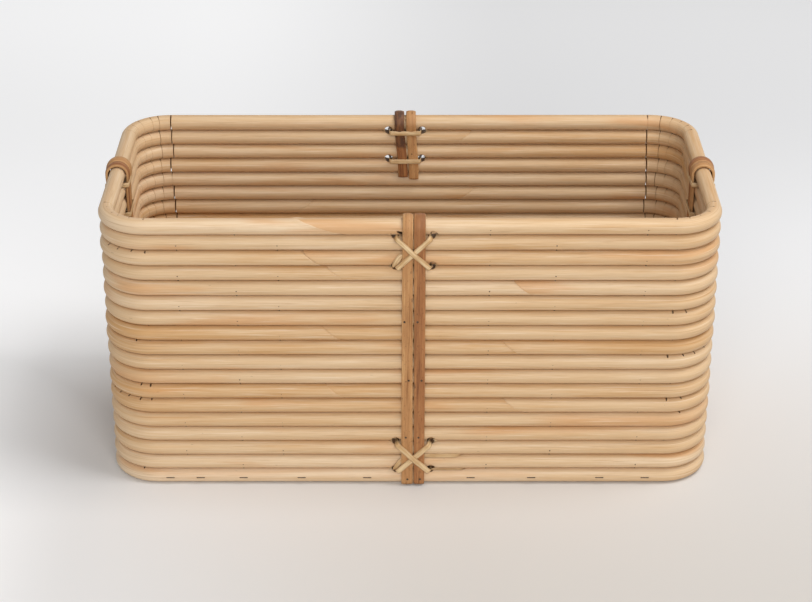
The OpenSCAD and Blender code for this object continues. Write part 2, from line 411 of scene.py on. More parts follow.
class Shader:
    """A small hand for wiring a material's nodes."""

    def __init__(self, name: str) -> None:
        """Starts a material with one Principled BSDF."""
        self.material = bpy.data.materials.new(name)
        self.material.use_nodes = True
        self.nodes = self.material.node_tree.nodes
        self.links = self.material.node_tree.links
        self.bsdf = self.nodes["Principled BSDF"]

    def node(self, kind: str, **settings: object) -> bpy.types.Node:
        """Adds a node and sets its properties."""
        made = self.nodes.new(kind)
        for key, value in settings.items():
            setattr(made, key, value)
        return made

    def feed(self, socket: bpy.types.NodeSocket, value: object) -> None:
        """Links a socket to another, or sets its value."""
        if isinstance(value, bpy.types.NodeSocket):
            self.links.new(value, socket)
        elif isinstance(value, tuple) and len(value) == 3 and socket.type == "RGBA":
            socket.default_value = (*value, 1.0)
        else:
            socket.default_value = value

    def attribute(self, name: str, vector: bool = False) -> bpy.types.NodeSocket:
        """A per-vertex value: a number, or three numbers."""
        return self.node("ShaderNodeAttribute", attribute_name=name).outputs["Vector" if vector else "Fac"]

    def object_coords(self) -> bpy.types.NodeSocket:
        """Object coordinates, which are the basket's own."""
        return self.node("ShaderNodeTexCoord").outputs["Object"]

    def stretched(self, vector: bpy.types.NodeSocket, scale: tuple[float, float, float]) -> bpy.types.NodeSocket:
        """Coordinates multiplied by scale."""
        mapping = self.node("ShaderNodeMapping", vector_type="POINT")
        self.feed(mapping.inputs["Vector"], vector)
        mapping.inputs["Scale"].default_value = scale
        return mapping.outputs["Vector"]

    def noise(
        self, vector: bpy.types.NodeSocket, scale: tuple[float, float, float],
        detail: float = 3.0, roughness: float = 0.55, distortion: float = 0.0,
    ) -> bpy.types.NodeSocket:
        """Noise, 0 to 1, with its features one unit of scaled coordinates wide."""
        made = self.node("ShaderNodeTexNoise")
        self.feed(made.inputs["Vector"], self.stretched(vector, scale))
        made.inputs["Scale"].default_value = 1.0
        made.inputs["Detail"].default_value = detail
        made.inputs["Roughness"].default_value = roughness
        made.inputs["Distortion"].default_value = distortion
        return made.outputs["Fac"]

    def math(self, operation: str, a: object, b: object = 0.0, c: object = 0.0, clamp: bool = False) -> bpy.types.NodeSocket:
        """One math node."""
        made = self.node("ShaderNodeMath", operation=operation, use_clamp=clamp)
        for socket, value in zip(made.inputs, (a, b, c)):
            self.feed(socket, value)
        return made.outputs[0]

    def remap(self, value: object, low: float, high: float, to_low: float = 0.0, to_high: float = 1.0) -> bpy.types.NodeSocket:
        """A value moved smoothly from one range to another, and held there."""
        made = self.node("ShaderNodeMapRange", interpolation_type="SMOOTHSTEP")
        for socket, number in zip(made.inputs, (value, low, high, to_low, to_high)):
            self.feed(socket, number)
        return made.outputs["Result"]

    def mix(self, factor: object, a: object, b: object, blend: str = "MIX") -> bpy.types.NodeSocket:
        """Two colours mixed."""
        made = self.node("ShaderNodeMix", data_type="RGBA", blend_type=blend)
        colours = [s for s in made.inputs if s.type == "RGBA"]
        self.feed(made.inputs["Factor"], factor)
        self.feed(colours[0], a)
        self.feed(colours[1], b)
        return next(s for s in made.outputs if s.type == "RGBA")

    def bump(self, height: object, distance: float, strength: float, under: bpy.types.NodeSocket | None = None) -> bpy.types.NodeSocket:
        """A bump from a height, over an earlier bump if one is given."""
        made = self.node("ShaderNodeBump")
        made.inputs["Strength"].default_value = strength
        made.inputs["Distance"].default_value = distance
        self.feed(made.inputs["Height"], height)
        if under is not None:
            self.feed(made.inputs["Normal"], under)
        return made.outputs["Normal"]

    def finish(self, colour: object, roughness: object, normal: object = None, specular: float = 0.5) -> bpy.types.Material:
        """Connects the surface and returns the material."""
        self.feed(self.bsdf.inputs["Base Color"], colour)
        self.feed(self.bsdf.inputs["Roughness"], roughness)
        self.bsdf.inputs["Specular IOR Level"].default_value = specular
        if normal is not None:
            self.feed(self.bsdf.inputs["Normal"], normal)
        return self.material


@dataclass(frozen=True)
class RattanFinish:
    """Peeled rattan pole: fibres along the pole, blotches, orange patches, thin streaks and scratches.

    It reads the pole's straightened coordinates (along, outwards, up) from the attribute grain,
    the pole's own tone from tint, how shut-in the surface is from shade, and the lines where it
    meets its neighbours from groove, which it darkens as dirt and painted shade. A tone of -1 is
    deep, 0 middling and 1 pale.
    """

    name: str
    pale: Colour = srgb(229, 204, 172)
    mid: Colour = srgb(216, 184, 144)
    deep: Colour = srgb(203, 158, 106)
    orange: Colour = srgb(206, 146, 88)
    cream: Colour = srgb(236, 216, 188)
    streak: Colour = srgb(162, 114, 68)
    # cut darkens the scratches and is also the colour of the painted shade in kerfs, at hole edges and on pole ends.
    cut: Colour = srgb(84, 50, 26)
    # The crevice colour where the poles meet their neighbours: partly dirt, partly painted shade.
    crevice_dirt_and_shade: Colour = srgb(176, 128, 80)

    def build(self) -> bpy.types.Material:
        """Builds the material."""
        sh = Shader(self.name)
        grain = sh.attribute("grain", vector=True)
        blotch = sh.noise(grain, (7, 70, 70), 2, 0.5)
        fibre = sh.noise(grain, (13, 520, 520), 4, 0.6)
        thread = sh.noise(grain, (45, 1900, 1900), 3, 0.6)
        tone = sh.math("MULTIPLY_ADD", sh.math("SUBTRACT", blotch, 0.5), 1.5, sh.attribute("tint"))
        tone = sh.math("MULTIPLY_ADD", sh.math("SUBTRACT", fibre, 0.5), 1.7, tone)
        colour = sh.mix(sh.remap(tone, -1.0, 0.05), self.deep, self.mid)
        colour = sh.mix(sh.remap(tone, -0.05, 1.0), colour, self.pale)
        patch = sh.remap(sh.noise(grain, (5, 40, 40), 2, 0.5, 0.5), 0.56, 0.72, 0.0, 0.5)
        colour = sh.mix(patch, colour, self.orange)
        dark_fibre = sh.remap(sh.noise(grain, (12, 640, 640), 3, 0.65, 0.3), 0.56, 0.72, 0.0, 0.36)
        colour = sh.mix(dark_fibre, colour, self.streak)
        pale_fibre = sh.remap(sh.noise(grain, (17, 760, 760), 3, 0.6), 0.55, 0.72, 0.0, 0.42)
        colour = sh.mix(pale_fibre, colour, self.cream)
        colour = sh.mix(sh.remap(thread, 0.40, 0.72, 0.0, 0.16), colour, self.streak)
        scratch = sh.remap(sh.noise(grain, (120, 900, 900), 1, 0.5), 0.80, 0.84, 0.0, 0.6)
        colour = sh.mix(scratch, colour, self.cut)
        # Crevices darken towards the crevice colour: partly dirt, partly painted shade where the poles meet.
        colour = sh.mix(sh.math("MULTIPLY", sh.attribute("groove"), 0.30), colour, self.crevice_dirt_and_shade)
        # Painted shade: kerf insides, hole edges and pole ends darken towards the cut colour.
        colour = sh.mix(sh.attribute("shade"), colour, self.cut)
        roughness = sh.remap(fibre, 0.25, 0.8, 0.60, 0.46)
        normal = sh.bump(fibre, 0.35 * MM, 0.30)
        normal = sh.bump(thread, 0.12 * MM, 0.25, normal)
        return sh.finish(colour, roughness, normal, 0.3)


@dataclass(frozen=True)
class BarkFinish:
    """Split rattan with its bark on: brown, streaked along the strip, paler at the cut edges."""

    name: str
    pale: Colour
    mid: Colour
    dark: Colour
    edge: Colour = srgb(214, 172, 120)
    bark: Colour = srgb(72, 48, 36)

    def build(self) -> bpy.types.Material:
        """Builds the material."""
        sh = Shader(self.name)
        grain = sh.attribute("grain", vector=True)
        patch = sh.noise(grain, (20, 170, 170), 3, 0.55)
        streak = sh.noise(grain, (24, 800, 800), 4, 0.62)
        mottle = sh.noise(grain, (260, 620, 620), 4, 0.65)
        tone = sh.math("ADD", sh.math("MULTIPLY", patch, 0.5), sh.math("MULTIPLY", streak, 0.5))
        colour = sh.mix(sh.remap(tone, 0.32, 0.50), self.dark, self.mid)
        colour = sh.mix(sh.remap(tone, 0.50, 0.66), colour, self.pale)
        spots = sh.remap(mottle, 0.56, 0.68, 0.0, 0.6)
        colour = sh.mix(spots, colour, self.dark)
        fleck = sh.remap(sh.noise(grain, (160, 330, 330), 2, 0.5), 0.68, 0.75, 0.0, 0.75)
        colour = sh.mix(fleck, colour, self.bark)
        colour = sh.mix(sh.attribute("edge"), colour, self.edge)
        crust = sh.remap(sh.noise(grain, (150, 260, 260), 4, 0.7), 0.40, 0.58, 0.55, 1.0)
        # shade carries the dark bark, the strap's own colour, and the painted shade in the clefts.
        colour = sh.mix(sh.math("MULTIPLY", sh.attribute("shade"), crust), colour, self.bark)
        normal = sh.bump(streak, 0.3 * MM, 0.45)
        normal = sh.bump(mottle, 0.15 * MM, 0.3, normal)
        return sh.finish(colour, sh.remap(streak, 0.3, 0.75, 0.62, 0.48), normal, 0.3)


@dataclass(frozen=True)
class PeelFinish:
    """Rattan peel: a pale flat band with a slight gloss and fine fibres along it."""

    name: str
    pale: Colour = srgb(224, 196, 152)
    deep: Colour = srgb(190, 150, 100)
    dark: Colour = srgb(120, 80, 46)

    def build(self) -> bpy.types.Material:
        """Builds the material."""
        sh = Shader(self.name)
        grain = sh.attribute("grain", vector=True)
        fibre = sh.noise(grain, (40, 1500, 1500), 4, 0.6)
        patch = sh.noise(grain, (60, 200, 200), 2, 0.5)
        tone = sh.math("ADD", sh.math("MULTIPLY", fibre, 0.6), sh.math("MULTIPLY", patch, 0.4))
        colour = sh.mix(sh.remap(tone, 0.36, 0.62), self.deep, self.pale)
        colour = sh.mix(sh.attribute("shade"), colour, self.dark)
        normal = sh.bump(fibre, 0.15 * MM, 0.35)
        return sh.finish(colour, sh.remap(fibre, 0.3, 0.7, 0.5, 0.36), normal, 0.45)


@dataclass(frozen=True)
class PlyFinish:
    """The base board's face veneer: long plain grain in the basket's own coordinates."""

    name: str
    pale: Colour = srgb(214, 180, 134)
    deep: Colour = srgb(184, 142, 94)
    dark: Colour = srgb(140, 98, 58)

    def build(self) -> bpy.types.Material:
        """Builds the material."""
        sh = Shader(self.name)
        where = sh.object_coords()
        figure = sh.noise(where, (2.2, 26, 26), 3, 0.5, 0.6)
        rings = sh.math("FRACT", sh.math("MULTIPLY", figure, 9.0))
        pore = sh.noise(where, (30, 900, 900), 3, 0.6)
        colour = sh.mix(sh.remap(rings, 0.1, 0.95), self.pale, self.deep)
        colour = sh.mix(sh.remap(pore, 0.58, 0.72, 0.0, 0.4), colour, self.dark)
        normal = sh.bump(pore, 0.15 * MM, 0.3)
        return sh.finish(colour, 0.55, normal, 0.35)


@dataclass(frozen=True)
class WireFinish:
    """Dark steel wire, dulled unevenly."""

    name: str
    bright: Colour = srgb(112, 96, 82)
    dull: Colour = srgb(58, 44, 34)

    def build(self) -> bpy.types.Material:
        """Builds the material."""
        sh = Shader(self.name)
        patch = sh.noise(sh.object_coords(), (700, 700, 700), 3, 0.6)
        sh.bsdf.inputs["Metallic"].default_value = 0.7
        return sh.finish(sh.mix(sh.remap(patch, 0.35, 0.7), self.dull, self.bright), sh.remap(patch, 0.3, 0.7, 0.6, 0.4))


# ---------------------------------------------------------------- poles


@dataclass(frozen=True)
class Kerf:
    """One saw cut on the inside of a bend.

    place is its distance along the path, half its half width where it is widest, pinch the share of
    that left where the bend has closed it, and top_web and low_web the wood left outside it in the
    pole's upper and lower half.
    """

    place: float
    half: float
    pinch: float
    top_web: float
    low_web: float


@dataclass
class PoleStack:
    """The eighteen rings, each one pole with its kerfs, scarf joint and lashing holes."""

    sizes: BasketSizes
    path: PolePath
    columns: int = 44
    kerf_count: int = 6
    kerf_half: float = 0.66 * MM
    middle_half: float = 0.58 * MM
    kerf_web: float = 7.3 * MM
    slot_web: float = 3.5 * MM
    deep_web: float = 3.1 * MM
    drift: float = 0.75 * MM
    close_power: float = 4.0
    hole_half: tuple[float, float] = (4.2 * MM, 4.3 * MM)
    hole_shift: tuple[float, float] = (1.0 * MM, 1.8 * MM)
    # Each ring's scarf joint: the wall, and the share of half its straight run
    scarfs: tuple[tuple[Wall, float], ...] = (
        (Wall.FRONT, -0.33), (Wall.BACK, -0.22), (Wall.FRONT, -0.37), (Wall.FRONT, -0.28), (Wall.FRONT, 0.43),
        (Wall.BACK, -0.24), (Wall.BACK, 0.45), (Wall.FRONT, -0.30), (Wall.FRONT, 0.39), (Wall.BACK, -0.26),
        (Wall.BACK, 0.43), (Wall.FRONT, -0.29), (Wall.FRONT, 0.40), (Wall.BACK, -0.23), (Wall.BACK, 0.45),
        (Wall.BACK, -0.28), (Wall.BACK, 0.44), (Wall.BACK, -0.25),
    )
    # How far each scarf joint gapes, as a multiple of its gap
    gapes: tuple[float, ...] = (
        1.4, 1.0, 3.0, 1.2, 1.5, 1.0, 1.0, 1.2, 1.8, 1.0, 1.0, 0.9, 1.6, 1.0, 1.0, 1.0, 1.0, 1.0,
    )
    # How pale each pole is at its left and right ends, from -1, orange, to 1, cream
    tints: tuple[tuple[float, float], ...] = (
        (0.25, -0.2), (0.0, -0.2), (0.03, -0.40), (-0.20, -0.10), (0.37, 0.30), (0.27, 0.0),
        (-0.07, -0.10), (-0.83, -0.07), (-0.57, -0.47), (0.0, 0.0), (0.10, 0.10), (-0.27, -0.37),
        (-0.30, -0.33), (-0.10, 0.17), (0.17, -0.03), (-0.17, 0.10), (0.27, 0.30), (0.63, 0.33),
    )
    # Kerfs that gape at their lower end, so that light shows through: corner, kerf and rings
    slots: tuple[tuple[int, int, tuple[int, ...]], ...] = (
        (2, 0, (1, 4, 6, 7)), (1, 5, (1, 4, 5, 6)),
    )
    # First kerfs that the bend has all but closed: corner, kerf and rings
    closed: tuple[tuple[int, int, tuple[int, ...]], ...] = ((2, 0, (5,)), (1, 5, (1,)))
    # Kerfs sawn too deep, which show as dark nicks outside: corner, ring and kerfs
    nicks: tuple[tuple[int, int, tuple[int, ...]], ...] = (
        (3, 3, (2, 3, 4, 5)), (3, 9, (4,)), (3, 12, (4, 5)), (3, 13, (1, 2, 3, 4, 5)), (3, 18, (4,)),
        (0, 7, (0, 1)), (0, 10, (0, 1, 2, 3)), (0, 13, (0, 1)), (0, 14, (1,)), (1, 11, (2,)), (2, 9, (1, 2)),
    )

    def kerfs(self, ring: int) -> list[Kerf]:
        """The saw cuts of one ring, walked along the path.

        Args:
            ring: The ring, from 1 at the rim.

        Returns:
            The cuts at all four corners.
        """
        rng = np.random.default_rng(SEED + ring)
        cuts = []
        for corner in range(4):
            for k in range(self.kerf_count):
                outer = k in (0, self.kerf_count - 1)
                second = k in (1, self.kerf_count - 2)
                place = self.path.bend_start(corner) + k / (self.kerf_count - 1) * self.path.radius * math.pi / 2
                place += rng.normal(0, (1.5 if outer else 0.9) * MM)
                pinch = 0.95 if outer else (rng.uniform(0.35, 0.75) if second else rng.uniform(0.25, 0.45))
                half = (self.kerf_half if outer else self.middle_half) * rng.uniform(0.85, 1.15)
                top = self.kerf_web * rng.uniform(0.96, 1.1) - (0.6 * MM if outer else 0)
                low = top
                if any(corner == c and k == j and ring in rings for c, j, rings in self.slots):
                    half, low = 0.8 * MM, self.slot_web
                if any(corner == c and k == j and ring in rings for c, j, rings in self.closed):
                    pinch = 0.1
                if any(corner == c and ring == r and k in ks for c, r, ks in self.nicks):
                    top = self.deep_web + rng.uniform(-0.2, 1.2) * MM
                    half = max(half, 0.62 * MM)
                cuts.append(Kerf(place, half, pinch, top, low))
        return cuts

    def stations(self, ring: int, start: float) -> dict[str, np.ndarray]:
        """Where a pole's sections are, with three pairs of sections at every kerf's walls.

        Args:
            ring: The ring, from 1 at the rim.
            start: Distance along the path to the ring's scarf joint.

        Returns:
            Whole arrays, one entry a section: along, rising from 0 to the path's length; flank, the
            signed half width of the kerf that the section belongs to; pinch; top and low, the least
            distance outwards that the kerf leaves in each half, or -1 clear of it.
        """
        sizes, path = self.sizes, self.path
        places = [np.linspace(0, path.length, int(path.length / (6 * MM)))]
        for corner in range(4):
            bend = path.bend_start(corner) + np.linspace(-0.1, 1.1, 26) * path.radius * math.pi / 2
            places.append(np.mod(bend - start, path.length))
        if any(ring - row in (sizes.tie_ring(tier) - 1, sizes.tie_ring(tier) + 1) for tier in Tier for row in (0, 1)):
            wide, shift = self.hole_half[0], self.hole_shift[0]
            rim = wide * np.cos(np.linspace(0, math.pi, 15))
            rim = np.concatenate([rim, [-wide - 0.05 * MM, wide + 0.05 * MM]])
            for wall in Wall:
                for side in (-1, 1):
                    hole = path.wall_mid(wall) + sizes.strap_mid[wall.value] + side * (sizes.lash_reach + shift)
                    places.append(np.mod(hole + rim - start, path.length))
        near_end = np.linspace(0.25, 30, 26) * MM
        places += [near_end, path.length - near_end]
        s = np.unique(np.concatenate(places))
        table = np.stack([s, 0 * s, 0 * s, 0 * s - 1, 0 * s - 1], axis=1)
        sliver, lip = 0.03 * MM, 0.35 * MM
        for kerf in self.kerfs(ring):
            at = (kerf.place - start) % path.length
            table = table[np.abs(table[:, 0] - at) > kerf.half + lip + 0.1 * MM]
            top, low = sizes.pole_r - kerf.top_web, sizes.pole_r - kerf.low_web
            walls = [
                [at + sign * offset, sign * kerf.half, kerf.pinch, *limit]
                for sign in (-1, 1)
                for offset, limit in ((lip, (-1, -1)), (sliver, (-1, -1)), (-sliver, (top, low)))
            ]
            table = np.vstack([table, walls])
        order = np.argsort(table[:, 0] + table[:, 1], kind="stable")
        return dict(zip(("along", "flank", "pinch", "top", "low"), table[order].T))

    def section_grid(self, ring: int) -> tuple[np.ndarray, dict[str, np.ndarray], int]:
        """One pole as a grid of (distance along, angle round).

        The section is a circle: outwards = r cos(a), up = r sin(a), with r a little less than the
        pole's radius by noise. In a kerf the distance outwards is held above the web's inner face,
        and the kerf's half width is h (p + (1 - p) |sin a|^n), so the bend has closed it most at the
        innermost line. At a lashing hole the height is held clear of the hole. Near the scarf joint
        each section leans: distance along = s - up * run / diameter.

        Args:
            ring: The ring, from 1 at the rim.

        Returns:
            The vertices, their attributes, and the number of sections.
        """
        sizes, path = self.sizes, self.path
        wall, share = self.scarfs[ring - 1]
        half_run = path.run_x if wall in (Wall.FRONT, Wall.BACK) else path.run_y
        joint = path.wall_mid(wall) + share * half_run
        at = self.stations(ring, joint)
        s = at["along"]
        angle = np.arange(self.columns) / self.columns * TAU
        pinch = at["pinch"][:, None]
        spread = np.maximum(pinch + (1 - pinch) * np.abs(np.sin(angle))[None, :] ** self.close_power, 0.1)
        s_grid = s[:, None] + at["flank"][:, None] * spread
        place = s_grid + joint
        end = np.minimum(s, path.length - s)
        slim = 0.010 * (1 + value_noise(s / 0.11, 40 + ring)) + 0.035 * smooth(1 - end / (1.2 * MM))
        oval = 1 - 0.008 * (1 + np.cos(2 * angle[None, :] + 3 * value_noise(s / 0.3, 70 + ring)[:, None]))
        r = sizes.pole_r * (1 - slim)[:, None] * oval
        out, up = r * np.cos(angle), r * np.sin(angle)
        high = smooth(0.5 + np.sin(angle))[None, :]
        web = at["low"][:, None] * (1 - high) + at["top"][:, None] * high
        tall = np.sqrt(np.maximum(r ** 2 - web ** 2, 0))
        inside = (at["top"][:, None] > -1) & (out < web)
        out = np.where(inside, web, out)
        up = np.where(inside, np.clip(up, -tall, tall), up)
        up, hole_edge = self.drill(ring, place, up)
        steady = self.steadiness(s + joint)
        wander = 0.55 * value_noise(s / 0.35, 100 + ring) + 0.45 * value_noise(np.full_like(s, 7.3), ring)
        sway = self.drift * steady * wander
        ripple = 0.06 * MM * value_noise(s / 0.2, 130 + ring)
        run = sizes.rim_scarf_run if ring == 1 else sizes.scarf_run
        gape = sizes.scarf_gap * self.gapes[ring - 1]
        lean = smooth(1 - (end - gape) / (run * 2.6)) * run / (2 * sizes.pole_r)
        gap = gape * (0.5 - s / path.length)
        feather = 0.9 * MM * smooth(1 - (path.length - s) / (9 * MM)) if ring == 1 else 0 * s
        point, normal = path.frame_at(place + gap[:, None] - up * lean[:, None])
        xy = point + (out + sway[:, None])[..., None] * normal
        z = sizes.ring_z(ring) + up + (ripple + feather)[:, None]
        vertices = np.concatenate([xy, z[..., None]], axis=-1).reshape(-1, 3)
        grain = np.stack([s_grid + 3.7 * ring, out, up], axis=-1).reshape(-1, 3)
        # groove marks the crevices above and below the pole, which the finish darkens as dirt and painted shade.
        groove = smooth((np.abs(np.sin(angle))[None, :] - 0.86) / 0.14) + 0 * s_grid
        # Painted shade inside the kerfs and, below, at the hole edges.
        cut = np.where(inside, 0.85, 0.0)
        shade = np.maximum(cut, hole_edge * 0.75)
        left, right = self.tints[ring - 1]
        tint = left + (right - left) * smooth(0.5 + xy[..., 0] / 0.4)
        tint = tint + 0.25 * value_noise(s / 0.22, 160 + ring)[:, None]
        return vertices, {
            "grain": grain, "tint": tint.ravel(), "shade": shade.ravel(), "groove": groove.ravel(),
        }, len(s)

    def steadiness(self, place: np.ndarray) -> np.ndarray:
        """0 at the middle of each wall, where the straps lie on the poles, rising to 1 away from it."""
        away = np.full_like(place, 1e3)
        for wall in Wall:
            gap = (place - self.path.wall_mid(wall) + self.path.length / 2) % self.path.length - self.path.length / 2
            away = np.minimum(away, np.abs(gap))
        return smooth((away - 25 * MM) / (70 * MM))

    def drill(self, ring: int, place: np.ndarray, up: np.ndarray) -> tuple[np.ndarray, np.ndarray]:
        """Holds a pole's surface clear of the lashing holes in the grooves above and below it.

        A hole is an ellipse in the wall's plane, a little outwards from and above the peel in it.

        Args:
            ring: The ring, from 1 at the rim.
            place: Distance along the path of each vertex.
            up: Height of each vertex above the pole's middle.

        Returns:
            The new heights, and 1 where a hole has cut the surface.
        """
        sizes = self.sizes
        cut = np.zeros_like(up)
        (wide, tall), (outward, raised) = self.hole_half, self.hole_shift
        for tier in Tier:
            for row in (-1, 1):
                above = sizes.tie_ring(tier) + row
                sign = {above: -1, above + 1: 1}.get(ring)
                if sign is None:
                    continue
                for wall in Wall:
                    for side in (-1, 1):
                        hole = self.path.wall_mid(wall) + sizes.strap_mid[wall.value] + side * (sizes.lash_reach + outward)
                        away = (place - hole + self.path.length / 2) % self.path.length - self.path.length / 2
                        reach = tall * np.sqrt(np.maximum(1 - (away / wide) ** 2, 0)) - sign * raised
                        reach = np.where(np.abs(away) < wide, np.maximum(reach, 0), 0)
                        bound = sizes.pitch / 2 - reach
                        hit = (sign * up > bound) & (reach > 0)
                        up = np.where(hit, sign * bound, up)
                        cut = np.where(hit, 1.0, cut)
        return up, cut

    def build(self, finishes: list[bpy.types.Material]) -> None:
        """Makes every ring.

        Args:
            finishes: The pole finishes, taken in turn, one for each ring by its number.
        """
        for ring in range(1, self.sizes.ring_count + 1):
            points, attributes, rows = self.section_grid(ring)
            quads = tube_faces(rows, self.columns, closed=False)
            points, faces = capped(points, quads, rows, self.columns)
            ends = {
                "grain": points[-2:] * 1.0, "tint": np.full(2, self.tints[ring - 1][0]),
                "shade": np.full(2, 0.55), "groove": np.zeros(2),
            }
            attributes = {key: np.concatenate([values, ends[key]]) for key, values in attributes.items()}
            name = f"ring_{ring:02d}"
            add_mesh(f"{name}_pole", points, faces, finishes[ring % 4], name, attributes)


# ---------------------------------------------------------------- straps


@dataclass(frozen=True)
class StrapShape:
    """How one strap differs from the plain one.

    foot_w and top_w are its widths at the floor and at the rim, lift is how far it stands off the
    rim, split is the depth of the cleft at its foot and tail_split at its inner end, bark how much
    dark bark it keeps on its inner stretch, and edge how far its cut sides show pale.
    """

    foot_w: float = 11.3 * MM
    top_w: float = 10.9 * MM
    lift: float = 1.6 * MM
    split: float = 0.0
    tail_split: float = 0.0
    bark: float = 0.1
    edge: float = 0.55


@dataclass
class StrapSet:
    """The four pairs of split-rattan straps that hook over the rim."""

    sizes: BasketSizes
    crown: float = 0.9 * MM
    bevel: float = 0.6 * MM
    foot_gap: float = 0.8 * MM
    rim_gap: float = 0.6 * MM
    inner_lean: float = 3.4 * MM
    split_run: float = 20 * MM
    shapes: tuple[tuple[Wall, Side, StrapShape], ...] = (
        (Wall.FRONT, Side.LEFT, StrapShape(11.5 * MM, 10.1 * MM, edge=0.75)),
        (Wall.FRONT, Side.RIGHT, StrapShape(10.7 * MM, 11.1 * MM, split=1.5 * MM, edge=0.3)),
        (Wall.RIGHT, Side.LEFT, StrapShape(11.0 * MM, 10.8 * MM, 1.2 * MM, edge=0.7)),
        (Wall.RIGHT, Side.RIGHT, StrapShape(11.3 * MM, 11.0 * MM, 1.8 * MM, edge=0.7)),
        (Wall.BACK, Side.LEFT, StrapShape(11.2 * MM, 10.3 * MM, edge=0.5)),
        (Wall.BACK, Side.RIGHT, StrapShape(11.0 * MM, 10.2 * MM, tail_split=1.6 * MM, bark=0.9, edge=0.3)),
        (Wall.LEFT, Side.LEFT, StrapShape(11.3 * MM, 11.0 * MM, 1.8 * MM, edge=0.8)),
        (Wall.LEFT, Side.RIGHT, StrapShape(11.1 * MM, 10.6 * MM, 1.2 * MM, edge=1.0)),
    )

    def profile(self) -> np.ndarray:
        """The strap's section as rows of (across, thickness, paleness of the edge).

        The outer face is the parabola t - crown * (x / half width)^2, and both edges are cut by a bevel.
        """
        half, t = self.sizes.strap_w / 2, self.sizes.strap_t
        inner = half - self.bevel
        x = np.array([-1, -0.97, -0.8, -0.6, -0.4, -0.2, -0.09, 0, 0.09, 0.2, 0.4, 0.6, 0.8, 0.97, 1]) * inner
        top = np.stack([x, t - self.crown * (x / half) ** 2, 0 * x], axis=1)
        top[[0, -1], 2] = 0.45
        side_t = t - self.crown - self.bevel * 0.8
        right = np.array([[half, side_t, 1.0], [half, side_t - 0.2 * MM, 1.0], [half, 0.3 * MM, 1.0], [half - 0.3 * MM, 0, 1.0]])
        under = np.array([[half * k, 0.12 * MM * (1 - k * k), 0.7] for k in (0.5, 0.0, -0.5)])
        left = right[::-1] * np.array([-1, 1, 1])
        return np.vstack([top, right, under, left])

    def centre_line(self, lift: float, end_z: float) -> np.ndarray:
        """The line of a strap's inner face, as rows of (outwards, height).

        It runs straight up the wall, swings out by the lift below the rim, goes over in a half
        circle and comes back to the wall inside.

        Args:
            lift: How far it stands off the rim.
            end_z: Height of its inner end.

        Returns:
            The line, from the foot to the inner end.
        """
        sizes = self.sizes
        reach = sizes.strap_in + lift
        arch_z = sizes.top_z - sizes.strap_t - sizes.strap_in - 1.8 * MM
        up = np.linspace(sizes.strap_foot, arch_z, 120)
        swing = smooth((up - (arch_z - 24 * MM)) / (24 * MM))
        outer = np.stack([sizes.strap_in + lift * swing, up], axis=1)
        angle = np.linspace(0, math.pi, 30)[1:-1]
        arch = np.stack([reach * np.cos(angle), arch_z + reach * np.sin(angle)], axis=1)
        down = np.linspace(arch_z, end_z, 40)
        swing = smooth((down - (arch_z - 14 * MM)) / (14 * MM))
        inner = np.stack([-(sizes.strap_in + lift * swing), down], axis=1)
        return np.vstack([outer, arch, inner])

    def strap(self, wall: Wall, side: Side, form: StrapShape, finish: bpy.types.Material) -> None:
        """Sweeps the section along the centre line.

        The width runs evenly from foot_w to top_w, with a slight noise, and the strap's inner edge
        keeps half the pair's gap from the pair's middle. A cleft is a V pressed into the crown.

        Args:
            wall: The wall that it is on.
            side: Which strap of the pair it is.
            form: How it differs from the plain strap.
            finish: Its material.
        """
        sizes = self.sizes
        seed = 200 + 2 * wall.value + (side is Side.RIGHT)
        late = (side is Side.RIGHT) != (wall is Wall.BACK)
        line = self.centre_line(form.lift, sizes.strap_end(late))
        tangent = np.gradient(line, axis=0)
        tangent /= np.linalg.norm(tangent, axis=1)[:, None]
        normal = np.stack([tangent[:, 1], -tangent[:, 0]], axis=1)
        along = np.concatenate([[0], np.cumsum(np.linalg.norm(np.diff(line, axis=0), axis=1))])
        shape = self.profile()
        hand = -1 if side is Side.LEFT else 1
        rise = np.clip(along / sizes.rim_z, 0, 1)
        indoors = smooth((along - sizes.rim_z - 15 * MM) / (60 * MM))
        width = form.foot_w + (form.top_w - form.foot_w) * rise
        width = width * (1 - 0.012 * (1 + value_noise(along / 0.05, seed + 20)))
        gap = self.foot_gap + (self.rim_gap - self.foot_gap) * rise + 0.5 * MM * np.sin(math.pi * rise)
        if wall is Wall.BACK:
            over = smooth((along - sizes.rim_z + 20 * MM) / (20 * MM))
            gap = gap + 1.4 * MM * over - 0.8 * MM * indoors
        lean = self.inner_lean * indoors if wall is Wall.BACK else 0.6 * MM * value_noise(along / 0.4, seed + 9) * indoors
        middle = sizes.strap_mid[wall.value] + hand * (gap + width) / 2 - lean
        middle = middle + 0.1 * MM * value_noise(along / 0.08, seed)
        ragged = 0.1 * MM * value_noise(along / 0.006, seed + 40)
        across = shape[None, :, 0] * (width / sizes.strap_w)[:, None] + middle[:, None]
        across = across + np.sign(shape[None, :, 0]) * shape[None, :, 2] * ragged[:, None] * 0.6
        from_end = along[-1] - along
        cleft = form.split * smooth(1 - along / self.split_run) + form.tail_split * smooth(1 - from_end / self.split_run)
        spot = (np.abs(shape[:, 0]) < 0.02 * MM) & (shape[:, 1] > sizes.strap_t / 2)
        thick = shape[None, :, 1] - cleft[:, None] * spot[None, :]
        out = line[:, None, 0] + normal[:, None, 0] * thick
        z = line[:, None, 1] + normal[:, None, 1] * thick
        points = wall_to_basket(np.stack([across, out, z], axis=-1), wall, sizes).reshape(-1, 3)
        rows, columns = len(line), len(shape)
        points, faces = capped(points, tube_faces(rows, columns, closed=False), rows, columns)
        grain = np.stack([
            along[:, None] + 0 * across + 0.9 * seed, shape[None, :, 0] + 0 * across, thick + 0 * across,
        ], axis=-1).reshape(-1, 3)
